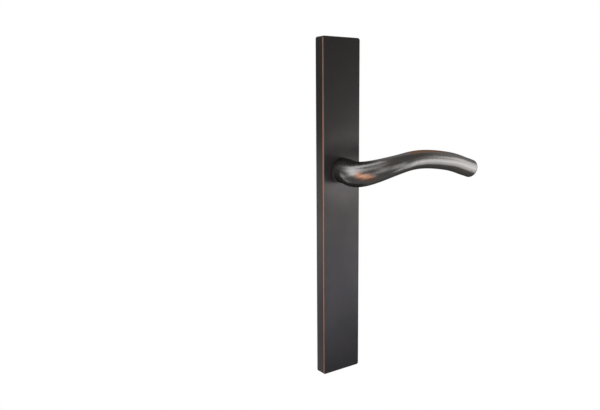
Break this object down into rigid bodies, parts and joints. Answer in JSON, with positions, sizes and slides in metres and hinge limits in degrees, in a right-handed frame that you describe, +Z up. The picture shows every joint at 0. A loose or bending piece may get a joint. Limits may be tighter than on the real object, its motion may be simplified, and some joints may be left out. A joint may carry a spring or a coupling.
{
  "type": "multipoint lock handle set",
  "caption": "Long narrow rectangular backplate, hollow behind, with an S-curved round-bar lever on a sprung hub, a square spindle and threaded mounting posts.",
  "frame": {"origin": "where the lever's axis meets the door's surface", "axes": "+Y into the door, square to it; +X the way the lever points; +Z up along the backplate"},
  "size_m": [0.1282, 0.081, 0.2794],
  "materials": {
    "bronze_plate": "oil-rubbed bronze, satin, with copper wear on the edges",
    "bronze_lever": "oil-rubbed bronze, semi-gloss, with copper wear on the crests",
    "zinc_steel": "zinc plated",
    "screw_steel": "zinc plated",
    "post_steel": "zinc plated, turned",
    "nylon": "natural nylon",
    "cast_zinc": "die-cast zinc",
    "spring_steel": "oiled spring steel",
    "spindle_steel": "zinc plated",
    "black_steel": "black oxide"
  },
  "bodies": {
    "escutcheon": {"escutcheon_plate": "bronze_plate", "backing_plate": "zinc_steel", "backing_plate_screws": "screw_steel", "upper_mounting_post": "post_steel", "lower_mounting_post": "post_steel", "neck_bushing": "nylon", "rear_bushing": "nylon", "spring_housing": "cast_zinc", "spring_housing_cover": "zinc_steel", "housing_screws": "screw_steel", "return_spring": "spring_steel", "stop_pin": "spindle_steel"},
    "lever": {"lever": "bronze_lever", "driver_disc": "spindle_steel", "thrust_washer": "zinc_steel", "spring_washer": "spring_steel", "retaining_ring": "spring_steel", "spindle": "spindle_steel", "set_screw": "black_steel"}
  },
  "joints": [
    {"name": "lever_turn", "type": "hinge", "parent": "escutcheon", "child": "lever", "pos_m": [0, 0, 0], "axis": [0, 1, 0], "range_deg": [-45, 45], "stiffness_Nm_per_rad": 1.2, "springref_deg": -5.73, "deforming": ["return_spring"]}
  ]
}
